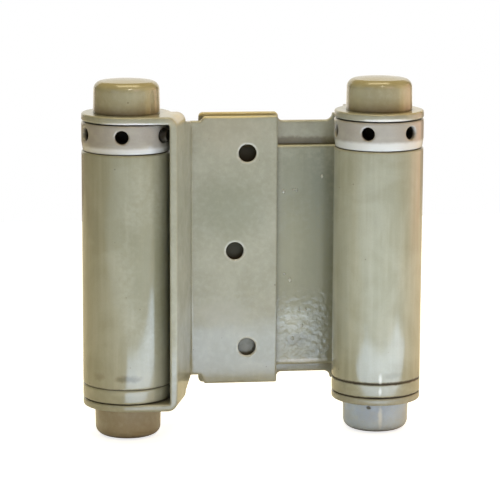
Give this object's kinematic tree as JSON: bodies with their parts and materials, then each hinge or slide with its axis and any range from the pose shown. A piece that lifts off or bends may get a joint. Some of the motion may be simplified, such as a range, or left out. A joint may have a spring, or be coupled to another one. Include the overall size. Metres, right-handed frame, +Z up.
{
  "type": "double action spring hinge",
  "caption": "Double action spring hinge for a light swing door: spring barrels joined by a web, a folded screw-on leaf hung from each barrel, and drilled collars that set the spring tension.",
  "frame": {"origin": "on the jamb leaf's mounting face, halfway between its two outer screw holes", "axes": "+X along the web from the door barrel to the jamb barrel, +Y into the jamb, +Z up along the barrels"},
  "size_m": [0.0948, 0.0271, 0.0998],
  "materials": {
    "prime_enamel": "beige grey prime coat enamel, semi-gloss",
    "dark_steel": "dark oiled steel",
    "bright_steel": "bright drawn steel",
    "spring_steel": "oiled spring wire"
  },
  "bodies": {
    "jamb_leaf": {"jamb_leaf": "prime_enamel", "jamb_spindle": "bright_steel", "jamb_top_tip": "prime_enamel", "jamb_bottom_tip": "prime_enamel"},
    "barrel_web": {"barrel_web": "prime_enamel", "door_plug": "prime_enamel", "jamb_plug": "prime_enamel", "door_spring": "spring_steel", "jamb_spring": "spring_steel"},
    "door_leaf": {"door_leaf": "prime_enamel", "door_spindle": "bright_steel", "door_top_tip": "prime_enamel", "door_bottom_tip": "prime_enamel"},
    "jamb_collar": {"jamb_collar": "prime_enamel", "jamb_stop_pin": "dark_steel"},
    "door_collar": {"door_collar": "prime_enamel", "door_stop_pin": "dark_steel"}
  },
  "joints": [
    {"name": "jamb_swing", "type": "hinge", "parent": "jamb_leaf", "child": "barrel_web", "pos_m": [0.0404, -0.0147, 0], "axis": [0, 0, 1], "range_deg": [0, 180], "stiffness_Nm_per_rad": 0.8, "springref_deg": -45.84, "deforming": ["jamb_spring"]},
    {"name": "door_swing", "type": "hinge", "parent": "barrel_web", "child": "door_leaf", "pos_m": [-0.0296, -0.0147, 0], "axis": [0, 0, -1], "range_deg": [0, 180], "stiffness_Nm_per_rad": 0.8, "springref_deg": -45.84, "deforming": ["door_spring"]},
    {"name": "jamb_collar_turn", "type": "hinge", "parent": "jamb_leaf", "child": "jamb_collar", "pos_m": [0.0404, -0.0147, 0], "axis": [0, 0, -1], "range_deg": [0, 60], "stiffness_Nm_per_rad": 0.1, "springref_deg": -114.59},
    {"name": "door_collar_turn", "type": "hinge", "parent": "door_leaf", "child": "door_collar", "pos_m": [-0.0296, -0.0147, 0], "axis": [0, 0, -1], "range_deg": [0, 60], "stiffness_Nm_per_rad": 0.1, "springref_deg": -114.59}
  ]
}
